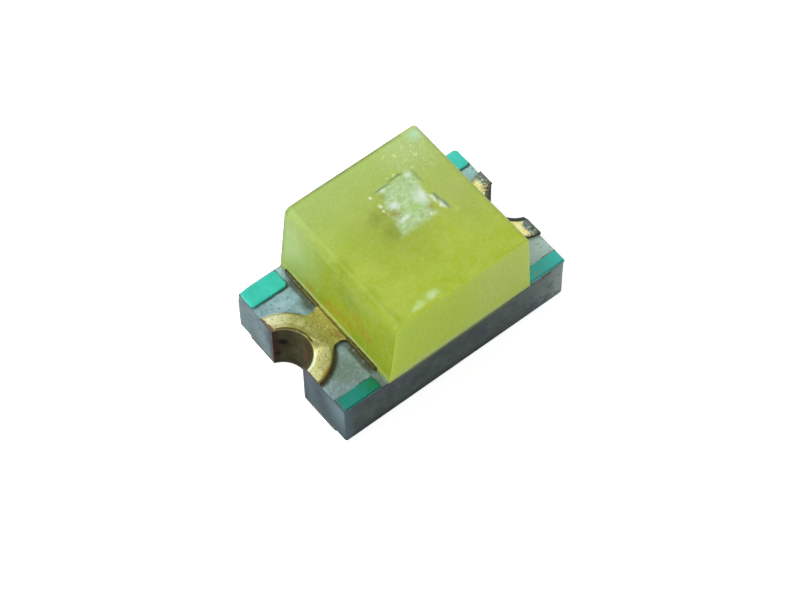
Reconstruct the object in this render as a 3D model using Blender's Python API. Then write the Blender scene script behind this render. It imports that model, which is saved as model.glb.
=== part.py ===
"""A surface-mount chip LED: laminate board, plated half-hole terminals, die, bond wires and phosphor resin.

X runs along the package, Y across it and Z up from the underside of the solder lands. Metres.
"""

import math

import bmesh
import bpy
from mathutils import Vector

MM = 0.001

# Clearance between pieces that are bonded, plated or moulded onto each other
SEAM = 0.002 * MM

# Points closer than this are one
MERGE = 0.0001 * MM

# Board
BODY_LENGTH = 2.00 * MM
BODY_WIDTH = 1.25 * MM
LAMINATE_THICKNESS = 0.395 * MM
CORNER_WEAR = 0.020 * MM

# Plated half hole in each end, drilled a little towards the back
BORE_RADIUS = 0.190 * MM
BORE_OUTSIDE = 0.063 * MM
BORE_ACROSS = 0.034 * MM
PLATING_WALL = 0.018 * MM

# Opening in the top foil over the hole, which the plating slopes down from
OPENING_RADIUS = 0.205 * MM
OPENING_OUTSIDE = 0.045 * MM

# Foil on both faces, with its plating
FOIL_THICKNESS = 0.030 * MM
RING_WIDTH = 0.140 * MM
NECK_WIDTH = 0.310 * MM
NECK_FILLET = 0.048 * MM
BAR_SETBACK = 0.370 * MM
BAR_WIDTH = 0.100 * MM
BAR_REACH_BACK = 0.560 * MM
BAR_REACH_FRONT = 0.490 * MM
FOIL_CORNER = 0.020 * MM

# Tongues of foil under the resin
STITCH_TONGUE_LENGTH = 0.260 * MM
STITCH_TONGUE_WIDTH = 0.420 * MM
DIE_PAD_MARGIN = 0.050 * MM

# Solder lands on the underside, from the sawn ends inwards
LAND_LENGTH = 0.445 * MM
LAND_WIDTH = 1.050 * MM
LAND_CORNER = 0.050 * MM

# Solder mask. The saw took a strip off the two front patches
MASK_THICKNESS = 0.018 * MM
PATCH_LENGTH = 0.316 * MM
PATCH_WIDTH = 0.160 * MM
PATCH_CORNER = 0.028 * MM
PATCH_END_INSET = 0.010 * MM
PATCH_BACK_INSET = 0.016 * MM
PATCH_SAWN_STRIP = 0.045 * MM
PATCH_SAWN_INSET = 0.002 * MM
PATCH_SAWN_CORNER = 0.006 * MM
MARK_LAND_GAP = 0.210 * MM
MARK_STEM_WIDTH = 0.100 * MM
MARK_CROSS_WIDTH = 0.720 * MM
MARK_ARROW_WIDTH = 0.340 * MM

# Resin block
RESIN_HEIGHT = 0.655 * MM
RESIN_LENGTH = 1.285 * MM
RESIN_SHIFT = 0.0265 * MM
RESIN_SLOPE_NEAR = 0.076 * MM
RESIN_SLOPE_FAR = 0.036 * MM
RESIN_EDGE_RADIUS = 0.062 * MM
RESIN_SAWN_EDGE = 0.010 * MM
RESIN_SHARP_ANGLE = 60

# Die
DIE_LENGTH = 0.270 * MM
DIE_WIDTH = 0.380 * MM
DIE_HEIGHT = 0.140 * MM
DIE_X = 0.276 * MM
DIE_Y = 0.300 * MM
ATTACH_MARGIN = 0.016 * MM
ATTACH_THICKNESS = 0.010 * MM
ATTACH_CORNER = 0.030 * MM

# Contacts on the die, measured in from its edges
CONTACT_RADIUS = 0.042 * MM
CONTACT_THICKNESS = 0.004 * MM
CONTACT_P_INSET = 0.054 * MM
CONTACT_P_FROM_FRONT = 0.155 * MM
CONTACT_N_INSET = 0.054 * MM
CONTACT_N_FROM_FRONT = 0.060 * MM

# Bond wires
WIRE_RADIUS = 0.0125 * MM
BALL_RADIUS = 0.034 * MM
BALL_HEIGHT = 0.020 * MM
BALL_FOOT_SHARE = 0.86
BALL_CROWN_SHARE = 0.62
WIRE_RISE = 0.260 * MM
WIRE_LANDING = 0.35
WIRE_LANDING_RISE = 0.050 * MM
WIRE_PRESSED_SHARE = 0.4
STITCH_LENGTH = 0.080 * MM
STITCH_WIDTH = 0.050 * MM
STITCH_THICKNESS = 0.018 * MM
STITCH_P_INSIDE = 0.070 * MM
STITCH_P_Y = 0.110 * MM
STITCH_N_INSIDE = 0.055 * MM
STITCH_N_Y = 0.020 * MM

# Fineness of round stretches
ARC_STEP = 11.0
TURN_STEPS = 20
WIRE_POINTS = 14

# Levels, from the underside of the lands upwards
LAMINATE_BOTTOM = FOIL_THICKNESS + SEAM
LAMINATE_TOP = LAMINATE_BOTTOM + LAMINATE_THICKNESS
FOIL_BOTTOM = LAMINATE_TOP + SEAM
FOIL_TOP = FOIL_BOTTOM + FOIL_THICKNESS
ATTACH_BOTTOM = FOIL_TOP + SEAM
ATTACH_TOP = ATTACH_BOTTOM + ATTACH_THICKNESS
DIE_BOTTOM = ATTACH_TOP + SEAM
DIE_TOP = DIE_BOTTOM + DIE_HEIGHT
CONTACT_BOTTOM = DIE_TOP + SEAM
CONTACT_TOP = CONTACT_BOTTOM + CONTACT_THICKNESS
RESIN_BOTTOM = LAMINATE_TOP + SEAM
RESIN_TOP = LAMINATE_TOP + RESIN_HEIGHT

BORE_CENTRE = (-BORE_OUTSIDE, BORE_ACROSS)
OPENING_CENTRE = (-OPENING_OUTSIDE, 0)
DRILL_RADIUS = BORE_RADIUS + PLATING_WALL + SEAM
RING_RADIUS = OPENING_RADIUS + RING_WIDTH
HALF_LENGTH = BODY_LENGTH / 2
HALF_WIDTH = BODY_WIDTH / 2

NEAR_END = -1
FAR_END = 1
FRONT = -1
BACK = 1

COLOURS = {
    "laminate": (0.36, 0.45, 0.44),
    "gold": (0.62, 0.58, 0.27),
    "solder_mask": (0.04, 0.52, 0.38),
    "phosphor_resin": (0.39, 0.53, 0.10),
    "sapphire": (0.62, 0.74, 0.60),
    "contact_metal": (0.60, 0.52, 0.25),
    "adhesive": (0.50, 0.46, 0.22),
}


def material(name, roughness, metallic=0.0):
    """One Principled material in the finish of that name."""
    made = bpy.data.materials.get(name)
    if made is None:
        made = bpy.data.materials.new(name)
        made.use_nodes = True
        shader = made.node_tree.nodes["Principled BSDF"]
        shader.inputs["Base Color"].default_value = (*COLOURS[name], 1.0)
        shader.inputs["Roughness"].default_value = roughness
        shader.inputs["Metallic"].default_value = metallic
    return made


def arc(centre, radius, start, end):
    """Points along an arc from one angle to another, in degrees, with both ends."""
    steps = max(2, math.ceil(abs(end - start) / ARC_STEP))
    angles = [math.radians(start + (end - start) * i / steps) for i in range(steps + 1)]
    return [(centre[0] + radius * math.cos(a), centre[1] + radius * math.sin(a)) for a in angles]


def rounded_rectangle(low, high, radius, front_radius=None):
    """The outline of a rectangle with four round corners. The two at its lowest y may have their own radius."""
    widest = min(high[0] - low[0], high[1] - low[1]) * 0.49
    back = min(radius, widest)
    front = min(radius if front_radius is None else front_radius, widest)
    return (
        arc((high[0] - back, high[1] - back), back, 0, 90)
        + arc((low[0] + back, high[1] - back), back, 90, 180)
        + arc((low[0] + front, low[1] + front), front, 180, 270)
        + arc((high[0] - front, low[1] + front), front, 270, 360)
    )


def extruded(name, outline, low, high, upright=False):
    """A closed solid from an outline in plan, drawn out along Z, or along Y for an upright outline."""
    mesh = bpy.data.meshes.new(name)
    body = bmesh.new()
    if upright:
        corners = [body.verts.new((a, low, b)) for a, b in outline]
        travel = Vector((0, high - low, 0))
    else:
        corners = [body.verts.new((a, b, low)) for a, b in outline]
        travel = Vector((0, 0, high - low))
    face = body.faces.new(corners)
    drawn = bmesh.ops.extrude_face_region(body, geom=[face])
    moved = [g for g in drawn["geom"] if isinstance(g, bmesh.types.BMVert)]
    bmesh.ops.translate(body, verts=moved, vec=travel)
    bmesh.ops.recalc_face_normals(body, faces=body.faces)
    body.to_mesh(mesh)
    body.free()
    made = bpy.data.objects.new(name, mesh)
    bpy.context.scene.collection.objects.link(made)
    return made


def turned(name, profile, centre, steps=TURN_STEPS):
    """A closed solid of revolution from (radius, height) points that start and end on the axis."""
    mesh = bpy.data.meshes.new(name)
    body = bmesh.new()
    corners = [body.verts.new((centre[0] + r, centre[1], z)) for r, z in profile]
    edges = [body.edges.new(pair) for pair in zip(corners, corners[1:])]
    axis_foot = Vector((centre[0], centre[1], 0))
    bmesh.ops.spin(
        body, geom=corners + edges, cent=axis_foot, axis=(0, 0, 1), angle=math.tau, steps=steps,
    )
    bmesh.ops.remove_doubles(body, verts=body.verts, dist=MERGE)
    bmesh.ops.recalc_face_normals(body, faces=body.faces)
    body.to_mesh(mesh)
    body.free()
    made = bpy.data.objects.new(name, mesh)
    bpy.context.scene.collection.objects.link(made)
    return made


def as_cutter(piece):
    """A guide that shapes another piece and isn't a piece itself."""
    piece.hide_render = True
    piece.display_type = "WIRE"
    return piece


def boolean(piece, tool, operation, solver="EXACT"):
    """Joins a tool to a piece, or cuts it out of the piece."""
    step = piece.modifiers.new(operation.lower(), "BOOLEAN")
    step.object = as_cutter(tool)
    step.operation = operation
    step.solver = solver
    return piece


def finished(piece, finish, roughness, metallic=0.0, smooth_angle=35):
    """Gives a piece its material and smooth round faces."""
    piece.data.materials.append(material(finish, roughness, metallic))
    piece.data.shade_smooth()
    piece.data.set_sharp_from_angle(angle=math.radians(smooth_angle))
    return piece


def inward(end, outline):
    """Turns points given as (distance in from a sawn end, y) into plan points at that end."""
    points = [(end * (HALF_LENGTH - u), y) for u, y in outline]
    return points if end == NEAR_END else points[::-1]


def angle_at_end_plane(centre, radius):
    """The angle at which a circle round a centre outside the sawn end meets that end, in degrees."""
    return math.degrees(math.acos(-centre[0] / radius))


def half_hole(radius):
    """The arc of the drilled hole, from the sawn end on the back side round to the front side."""
    reach = angle_at_end_plane(BORE_CENTRE, radius)
    return arc(BORE_CENTRE, radius, reach, -reach)


def board():
    """The laminate, drilled in both ends before it was sawn, with worn corners."""
    corner = CORNER_WEAR
    near_notch = inward(NEAR_END, half_hole(DRILL_RADIUS))
    far_notch = inward(FAR_END, half_hole(DRILL_RADIUS))
    right = HALF_LENGTH - corner
    back = HALF_WIDTH - corner
    outline = (
        arc((right, back), corner, 0, 90)
        + arc((-right, back), corner, 90, 180)
        + near_notch
        + arc((-right, -back), corner, 180, 270)
        + arc((right, -back), corner, 270, 360)
        + far_notch
    )
    piece = extruded("board", outline, LAMINATE_BOTTOM, LAMINATE_TOP)
    return finished(piece, "laminate", 0.6)


def ring_and_neck(grow):
    """Half of the ring's outer outline, from the sawn end along the ring and the neck to the bar."""
    radius = RING_RADIUS + grow
    neck = NECK_WIDTH / 2 + grow
    fillet = NECK_FILLET - grow
    reach = radius + fillet
    across = neck + fillet
    along = math.sqrt(reach * reach - across * across)
    touch = math.degrees(math.atan2(across, along))
    bar = BAR_SETBACK - grow
    return (
        arc(OPENING_CENTRE, radius, angle_at_end_plane(OPENING_CENTRE, radius), touch)
        + arc((along - OPENING_OUTSIDE, across), fillet, touch - 180, -90)[1:]
        + arc((bar - fillet, across), fillet, -90, 0)
    )


def foil_outline(end, grow=0.0):
    """The plan of a terminal's top foil without its tongue or its opening. Grow widens it all round."""
    back = ring_and_neck(grow)
    front = [(u, -y) for u, y in reversed(back)]
    inner_edge = BAR_SETBACK + BAR_WIDTH + grow
    corner = min(FOIL_CORNER, BAR_WIDTH / 3)
    outer_edge = BAR_SETBACK - grow
    reach_back = BAR_REACH_BACK + grow
    reach_front = BAR_REACH_FRONT + grow
    bar = (
        arc((outer_edge + corner, reach_back - corner), corner, 180, 90)
        + arc((inner_edge - corner, reach_back - corner), corner, 90, 0)
        + arc((inner_edge - corner, corner - reach_front), corner, 0, -90)
        + arc((outer_edge + corner, corner - reach_front), corner, -90, -180)
    )
    return inward(end, back + bar + front)


def stitch_tongue(grow=0.0):
    """The plan of the foil that runs in from the near bar to take the wire's stitch."""
    outer = -HALF_LENGTH + BAR_SETBACK + BAR_WIDTH / 2
    inner = -HALF_LENGTH + BAR_SETBACK + BAR_WIDTH + STITCH_TONGUE_LENGTH + grow
    half = STITCH_TONGUE_WIDTH / 2 + grow
    return rounded_rectangle((outer, -half), (inner, half), FOIL_CORNER)


def die_pad(grow=0.0):
    """The plan of the foil that runs in from the far bar to lie under the die."""
    margin = DIE_PAD_MARGIN + grow
    low = (DIE_X - DIE_LENGTH / 2 - margin, DIE_Y - DIE_WIDTH / 2 - margin)
    high = (HALF_LENGTH - BAR_SETBACK - BAR_WIDTH / 2, DIE_Y + DIE_WIDTH / 2 + margin)
    return rounded_rectangle(low, high, FOIL_CORNER)


def land_outline(end):
    """The plan of a solder land, which the saw cut off flush with the end."""
    low = (0, -LAND_WIDTH / 2)
    high = (LAND_LENGTH, LAND_WIDTH / 2)
    return inward(end, rounded_rectangle(low, high, LAND_CORNER))


def drilled_hole(name, end):
    """A cutter for the hole: straight through the board, then sloping out to the opening in the top foil."""
    rings = [
        (BORE_CENTRE, BORE_RADIUS, -FOIL_THICKNESS),
        (BORE_CENTRE, BORE_RADIUS, FOIL_BOTTOM),
        (OPENING_CENTRE, OPENING_RADIUS, FOIL_TOP),
        (OPENING_CENTRE, OPENING_RADIUS, FOIL_TOP + FOIL_THICKNESS),
    ]
    mesh = bpy.data.meshes.new(name)
    body = bmesh.new()
    loops = []
    for centre, radius, height in rings:
        outline = inward(end, arc(centre, radius, 0, 360)[:-1])
        corners = [body.verts.new((x, y, height)) for x, y in outline]
        loops.append([body.edges.new(pair) for pair in zip(corners, corners[1:] + corners[:1])])
    for lower, upper in zip(loops, loops[1:]):
        bmesh.ops.bridge_loops(body, edges=lower + upper)
    bmesh.ops.holes_fill(body, edges=loops[0] + loops[-1])
    bmesh.ops.recalc_face_normals(body, faces=body.faces)
    body.to_mesh(mesh)
    body.free()
    made = bpy.data.objects.new(name, mesh)
    bpy.context.scene.collection.objects.link(made)
    return made


def terminal(name, end, tongue):
    """Ring, neck, bar, tongue, half-pipe barrel and land: copper and plating in one piece."""
    middle = FOIL_THICKNESS / 2
    piece = extruded(name, foil_outline(end), FOIL_BOTTOM, FOIL_TOP)
    boolean(piece, extruded(name + "_tongue", tongue(), FOIL_BOTTOM, FOIL_TOP), "UNION")
    barrel_outline = inward(end, half_hole(BORE_RADIUS + PLATING_WALL))
    boolean(piece, extruded(name + "_barrel", barrel_outline, middle, FOIL_TOP - middle), "UNION")
    boolean(piece, extruded(name + "_land", land_outline(end), 0, FOIL_THICKNESS), "UNION")
    boolean(piece, drilled_hole(name + "_drill", end), "DIFFERENCE")
    return finished(piece, "gold", 0.35, 1.0)


def patch_outline(end, side, grow=0.0):
    """The plan of the solder mask patch on one corner of the board."""
    outer_x = HALF_LENGTH - PATCH_END_INSET
    xs = sorted((end * (outer_x + grow), end * (outer_x - PATCH_LENGTH - grow)))
    if side == FRONT:
        low_y = PATCH_SAWN_INSET - HALF_WIDTH
        high_y = low_y + PATCH_WIDTH - PATCH_SAWN_STRIP
        front_corner = PATCH_SAWN_CORNER
    else:
        high_y = HALF_WIDTH - PATCH_BACK_INSET
        low_y = high_y - PATCH_WIDTH
        front_corner = PATCH_CORNER
    low = (xs[0], low_y - grow)
    high = (xs[1], high_y + grow)
    return rounded_rectangle(low, high, PATCH_CORNER + grow, front_corner + grow)


def mask_patch(name, end, side):
    """A patch of green solder mask printed on one corner of the board."""
    low = LAMINATE_TOP + SEAM
    piece = extruded(name, patch_outline(end, side), low, low + MASK_THICKNESS)
    return finished(piece, "solder_mask", 0.4)


def polarity_mark():
    """The arrow of solder mask on the underside, which points to the far terminal."""
    land_gap = HALF_LENGTH - LAND_LENGTH
    tail = MARK_LAND_GAP - land_gap
    shoulder = tail + MARK_STEM_WIDTH
    tip = land_gap - MARK_LAND_GAP
    cross = MARK_CROSS_WIDTH / 2
    arrow = MARK_ARROW_WIDTH / 2
    outline = [
        (tail, -cross),
        (shoulder, -cross),
        (shoulder, -arrow),
        (tip, 0),
        (shoulder, arrow),
        (shoulder, cross),
        (tail, cross),
    ]
    top = LAMINATE_BOTTOM - SEAM
    piece = extruded("polarity_mark", outline, top - MASK_THICKNESS, top)
    return finished(piece, "solder_mask", 0.4)


def die_corners(grow=0.0):
    """Lowest and highest plan corners of the die."""
    half_x = DIE_LENGTH / 2 + grow
    half_y = DIE_WIDTH / 2 + grow
    return (DIE_X - half_x, DIE_Y - half_y), (DIE_X + half_x, DIE_Y + half_y)


def die_outline(grow=0.0):
    """The plan of the die, a sawn rectangle."""
    low, high = die_corners(grow)
    return [low, (high[0], low[1]), high, (low[0], high[1])]


def led_die():
    """The chip: sapphire with its light-emitting layers on top."""
    return finished(extruded("led_die", die_outline(), DIE_BOTTOM, DIE_TOP), "sapphire", 0.25)


def attach_outline(grow=0.0):
    """The plan of the adhesive, squeezed out a little past the die."""
    low, high = die_corners(ATTACH_MARGIN + grow)
    return rounded_rectangle(low, high, ATTACH_CORNER + grow)


def die_attach():
    """The layer of adhesive between the die and its pad."""
    piece = extruded("die_attach", attach_outline(), ATTACH_BOTTOM, ATTACH_TOP)
    return finished(piece, "adhesive", 0.5)


def contact_p_centre():
    """Middle of the contact by the die's near edge."""
    low, _ = die_corners()
    return low[0] + CONTACT_P_INSET, low[1] + CONTACT_P_FROM_FRONT


def contact_n_centre():
    """Middle of the contact by the die's far front corner."""
    low, high = die_corners()
    return high[0] - CONTACT_N_INSET, low[1] + CONTACT_N_FROM_FRONT


def disc(name, centre, radius, low, high):
    """A short round post or a thin round pad."""
    return turned(name, [(0, low), (radius, low), (radius, high), (0, high)], centre)


def contact(name, centre):
    """A round metal contact on top of the die."""
    piece = disc(name, centre, CONTACT_RADIUS, CONTACT_BOTTOM, CONTACT_TOP)
    return finished(piece, "contact_metal", 0.3, 1.0)


def stitch_p_centre():
    """Where the near wire is stitched, back from the tongue's inner end."""
    tongue_end = -HALF_LENGTH + BAR_SETBACK + BAR_WIDTH + STITCH_TONGUE_LENGTH
    return tongue_end - STITCH_P_INSIDE, STITCH_P_Y


def stitch_n_centre():
    """Where the far wire is stitched, on the far bar."""
    return HALF_LENGTH - BAR_SETBACK - STITCH_N_INSIDE, STITCH_N_Y


def wire_path(start, end):
    """A loop that leaves the ball straight up and slopes down into its stitch, as points in space."""
    low = Vector((*start, CONTACT_TOP + SEAM + BALL_HEIGHT / 3))
    landing = Vector((*end, FOIL_TOP + SEAM + STITCH_THICKNESS / 2))
    across = Vector((end[0] - start[0], end[1] - start[1], 0))
    rise = low + Vector((0, 0, WIRE_RISE))
    slope = landing - across * WIRE_LANDING + Vector((0, 0, WIRE_LANDING_RISE))
    points = []
    for i in range(WIRE_POINTS):
        t = i / (WIRE_POINTS - 1)
        weights = ((1 - t) ** 3, 3 * t * (1 - t) ** 2, 3 * t * t * (1 - t), t ** 3)
        points.append(sum((w * p for w, p in zip(weights, (low, rise, slope, landing))), Vector()))
    return points


def tube(name, points, grow):
    """A round wire along a line of points, pressed thin at its far end."""
    radius = WIRE_RADIUS + grow
    line = bpy.data.curves.new(name, "CURVE")
    line.dimensions = "3D"
    line.bevel_depth = radius
    line.bevel_resolution = 2
    line.use_fill_caps = True
    spline = line.splines.new("POLY")
    spline.points.add(len(points) - 1)
    for place, point in zip(spline.points, points):
        place.co = (*point, 1)
    spline.points[-1].radius = (WIRE_RADIUS * WIRE_PRESSED_SHARE + grow) / radius
    curve = bpy.data.objects.new(name + "_line", line)
    bpy.context.scene.collection.objects.link(curve)
    bpy.context.view_layer.update()
    shape = curve.evaluated_get(bpy.context.evaluated_depsgraph_get())
    made = bpy.data.objects.new(name, bpy.data.meshes.new_from_object(shape))
    bpy.context.scene.collection.objects.link(made)
    bpy.data.objects.remove(curve)
    body = bmesh.new()
    body.from_mesh(made.data)
    bmesh.ops.remove_doubles(body, verts=body.verts, dist=MERGE)
    bmesh.ops.recalc_face_normals(body, faces=body.faces)
    body.to_mesh(made.data)
    body.free()
    return made


def ball(name, centre, grow):
    """The ball of a bond, squashed flat where it meets the contact."""
    low = CONTACT_TOP + SEAM - grow
    high = low + BALL_HEIGHT + 2 * grow
    waist = (low + high) / 2
    radius = BALL_RADIUS + grow
    foot = radius * BALL_FOOT_SHARE
    crown = radius * BALL_CROWN_SHARE
    profile = [(0, low), (foot, low), (radius, waist), (crown, high), (0, high)]
    return turned(name, profile, centre)


def stitch(name, start, end, grow):
    """The wire's far end, pressed out flat on the foil in line with the wire."""
    direction = Vector((end[0] - start[0], end[1] - start[1])).normalized()
    side = Vector((-direction.y, direction.x))
    half_length = STITCH_LENGTH / 2 + grow
    half_width = STITCH_WIDTH / 2 + grow
    middle = Vector(end)
    outline = []
    for x, y in arc((0, 0), 1, 0, 360 - ARC_STEP * 2):
        outline.append(middle + direction * (x * half_length) + side * (y * half_width))
    low = FOIL_TOP + SEAM - grow
    high = low + STITCH_THICKNESS + 2 * grow
    return extruded(name, [tuple(p) for p in outline], low, high)


def wire_solid(name, start, end, grow=0.0):
    """Ball, loop and stitch as one solid. Grow thickens it all round."""
    piece = tube(name, wire_path(start, end), grow)
    boolean(piece, ball(name + "_ball", start, grow), "UNION")
    boolean(piece, stitch(name + "_stitch", start, end, grow), "UNION")
    return piece


def bond_wire(name, start, end):
    """A gold wire from a contact on the die to a terminal."""
    return finished(wire_solid(name, start, end), "gold", 0.3, 1.0)


def resin_profile():
    """The resin block seen from the side: sloping ends with moulded top edges."""
    near_foot = RESIN_SHIFT - RESIN_LENGTH / 2
    far_foot = RESIN_SHIFT + RESIN_LENGTH / 2
    near_top = near_foot + RESIN_SLOPE_NEAR
    far_top = far_foot - RESIN_SLOPE_FAR
    height = RESIN_TOP - RESIN_BOTTOM
    near_lean = math.degrees(math.atan2(RESIN_SLOPE_NEAR, height))
    far_lean = math.degrees(math.atan2(RESIN_SLOPE_FAR, height))
    radius = RESIN_EDGE_RADIUS
    near_tangent = radius * math.tan(math.radians((90 - near_lean) / 2))
    far_tangent = radius * math.tan(math.radians((90 - far_lean) / 2))
    far_round = arc((far_top - far_tangent, RESIN_TOP - radius), radius, far_lean, 90)
    near_round = arc((near_top + near_tangent, RESIN_TOP - radius), radius, 90, 180 - near_lean)
    return [(near_foot, RESIN_BOTTOM), (far_foot, RESIN_BOTTOM)] + far_round + near_round


def resin_pocket():
    """Cutters for all that the resin was moulded over, each a clearance larger than its piece."""
    below = LAMINATE_TOP - SEAM
    foil_high = FOIL_TOP + SEAM
    mask_high = LAMINATE_TOP + SEAM + MASK_THICKNESS + SEAM
    near_wire = (contact_p_centre(), stitch_p_centre())
    far_wire = (contact_n_centre(), stitch_n_centre())
    cutters = [
        extruded("pocket_near_foil", foil_outline(NEAR_END, SEAM), below, foil_high),
        extruded("pocket_far_foil", foil_outline(FAR_END, SEAM), below, foil_high),
        extruded("pocket_stitch_tongue", stitch_tongue(SEAM), below, foil_high),
        extruded("pocket_die_pad", die_pad(SEAM), below, foil_high),
        extruded("pocket_attach", attach_outline(SEAM), FOIL_BOTTOM, ATTACH_TOP + SEAM),
        extruded("pocket_die", die_outline(SEAM), FOIL_BOTTOM, DIE_TOP + SEAM),
        disc("pocket_contact_p", near_wire[0], CONTACT_RADIUS + SEAM, DIE_BOTTOM, CONTACT_TOP + SEAM),
        disc("pocket_contact_n", far_wire[0], CONTACT_RADIUS + SEAM, DIE_BOTTOM, CONTACT_TOP + SEAM),
    ]
    for end in (NEAR_END, FAR_END):
        for side in (FRONT, BACK):
            outline = patch_outline(end, side, SEAM)
            cutters.append(extruded("pocket_patch", outline, below, mask_high))
    for name, (start, landing) in (("pocket_wire_p", near_wire), ("pocket_wire_n", far_wire)):
        cutters.append(tube(name, wire_path(start, landing), SEAM))
        cutters.append(ball(name + "_ball", start, SEAM))
        cutters.append(stitch(name + "_stitch", start, landing, SEAM))
    return cutters


def soften_sawn_edges(piece):
    """Takes the sharpness off the edges that the saw left, apart from the foot on the board."""
    body = bmesh.new()
    body.from_mesh(piece.data)
    foot = RESIN_BOTTOM + SEAM
    sharp = [
        edge
        for edge in body.edges
        if edge.calc_face_angle() > math.radians(RESIN_SHARP_ANGLE) and any(v.co.z > foot for v in edge.verts)
    ]
    bmesh.ops.bevel(body, geom=sharp, offset=RESIN_SAWN_EDGE, segments=1, affect="EDGES")
    body.to_mesh(piece.data)
    body.free()


def phosphor_resin():
    """The block of resin and phosphor, moulded in a bar over many boards and sawn with them."""
    piece = extruded("phosphor_resin", resin_profile(), -HALF_WIDTH, HALF_WIDTH, upright=True)
    soften_sawn_edges(piece)
    for cutter in resin_pocket():
        boolean(piece, cutter, "DIFFERENCE", "MANIFOLD")
    return finished(piece, "phosphor_resin", 0.45)


def build():
    """Makes every piece of the LED."""
    for old in list(bpy.data.objects):
        bpy.data.objects.remove(old)
    board()
    terminal("anode_terminal", NEAR_END, stitch_tongue)
    terminal("cathode_terminal", FAR_END, die_pad)
    for end_name, end in (("left", NEAR_END), ("right", FAR_END)):
        for side_name, side in (("front", FRONT), ("back", BACK)):
            mask_patch(f"mask_patch_{end_name}_{side_name}", end, side)
    polarity_mark()
    die_attach()
    led_die()
    contact("bond_pad_p", contact_p_centre())
    contact("bond_pad_n", contact_n_centre())
    bond_wire("bond_wire_p", contact_p_centre(), stitch_p_centre())
    bond_wire("bond_wire_n", contact_n_centre(), stitch_n_centre())
    phosphor_resin()


build()
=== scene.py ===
"""The looks of a surface-mount chip LED, 2.0 x 1.25 mm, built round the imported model. Metres throughout."""

import math

import bmesh
import bpy
from mathutils import Matrix, Vector, noise


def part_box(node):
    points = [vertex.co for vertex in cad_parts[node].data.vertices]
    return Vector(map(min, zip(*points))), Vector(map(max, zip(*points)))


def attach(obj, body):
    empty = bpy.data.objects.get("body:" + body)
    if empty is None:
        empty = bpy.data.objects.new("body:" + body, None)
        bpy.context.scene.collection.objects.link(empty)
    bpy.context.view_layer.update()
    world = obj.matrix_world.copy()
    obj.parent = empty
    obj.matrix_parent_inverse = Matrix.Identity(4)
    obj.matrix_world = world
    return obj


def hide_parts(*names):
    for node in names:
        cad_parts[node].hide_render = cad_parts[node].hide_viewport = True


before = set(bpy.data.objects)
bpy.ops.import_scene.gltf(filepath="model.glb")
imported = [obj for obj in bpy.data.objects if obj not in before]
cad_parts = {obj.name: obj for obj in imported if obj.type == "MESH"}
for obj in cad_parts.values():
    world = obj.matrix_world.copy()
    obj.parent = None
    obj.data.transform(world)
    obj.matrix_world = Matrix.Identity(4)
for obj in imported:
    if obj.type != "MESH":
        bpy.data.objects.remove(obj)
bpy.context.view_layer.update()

MM = 0.001


# The board is glass-fibre laminate with a pale printed face. It was drilled and plated as a large panel and
# then sawn into single lamps, so its top is smooth, and its four sides are rough and dark with worn edges.

DRILL_OUTSIDE = 0.063 * MM
DRILL_ACROSS = 0.034 * MM
DRILL_RADIUS = 0.210 * MM
DRILL_SIDES = 96
DRILL_MARGIN = 1.05
CORNER_WEAR = {(-1, 1): 0.014 * MM, (1, -1): 0.040 * MM, (1, 1): 0.035 * MM, (-1, -1): 0.018 * MM}
ARRIS_WEAR = 0.006 * MM
SURFACE_STEP = 0.045 * MM
SAWN_DEPTH = 0.004 * MM
SAWN_GRAIN = 0.060 * MM
WORN_DEPTH = 0.016 * MM
WORN_REACH = 0.110 * MM
SHADE_ANGLE = math.radians(35)
STRAIGHT_UP = 0.99
FACES_UP = 0.9
FACES_OUT = 0.8
MERGE = 0.001 * MM


def add_block(name, low, high):
    """A cube drawn out from its lowest to its highest corner, selected by itself."""
    bpy.ops.object.select_all(action="DESELECT")
    bpy.ops.mesh.primitive_cube_add(size=1, location=(low + high) / 2, scale=high - low)
    bpy.ops.object.transform_apply(location=True, rotation=True, scale=True)
    block = bpy.context.object
    block.name = block.data.name = name
    return block


def add_drum(name, centre, radius, low, high, sides=DRILL_SIDES):
    """A cylinder that stands on its end, selected by itself."""
    bpy.ops.object.select_all(action="DESELECT")
    middle = (centre[0], centre[1], (low + high) / 2)
    bpy.ops.mesh.primitive_cylinder_add(vertices=sides, radius=radius, depth=high - low, location=middle)
    bpy.ops.object.transform_apply(location=True, rotation=True, scale=True)
    drum = bpy.context.object
    drum.name = drum.data.name = name
    return drum


def only(piece):
    """Makes a piece the only selected object."""
    bpy.ops.object.select_all(action="DESELECT")
    piece.select_set(True)
    bpy.context.view_layer.objects.active = piece


def select(piece, kind, test):
    """In edit mode, selects only the vertices, edges or faces that pass a test."""
    bpy.ops.mesh.select_mode(type=kind)
    bpy.ops.mesh.select_all(action="DESELECT")
    body = bmesh.from_edit_mesh(piece.data)
    for part in {"VERT": body.verts, "EDGE": body.edges, "FACE": body.faces}[kind]:
        if test(part):
            part.select_set(True)
    bmesh.update_edit_mesh(piece.data)


def upright(edge):
    """Whether an edge stands along Z."""
    along = edge.verts[1].co - edge.verts[0].co
    return abs(along.z) > STRAIGHT_UP * along.length


def level_at(edge, height):
    """Whether an edge lies flat at a height."""
    return all(abs(vertex.co.z - height) < MERGE for vertex in edge.verts)


def combine(piece, tool, operation):
    """Joins a tool to a piece, or cuts it away, and throws the tool away."""
    step = piece.modifiers.new(operation, "BOOLEAN")
    step.object = tool
    step.operation = operation
    step.solver = "EXACT"
    only(piece)
    bpy.ops.object.modifier_apply(modifier=step.name)
    bpy.data.objects.remove(tool)


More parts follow.
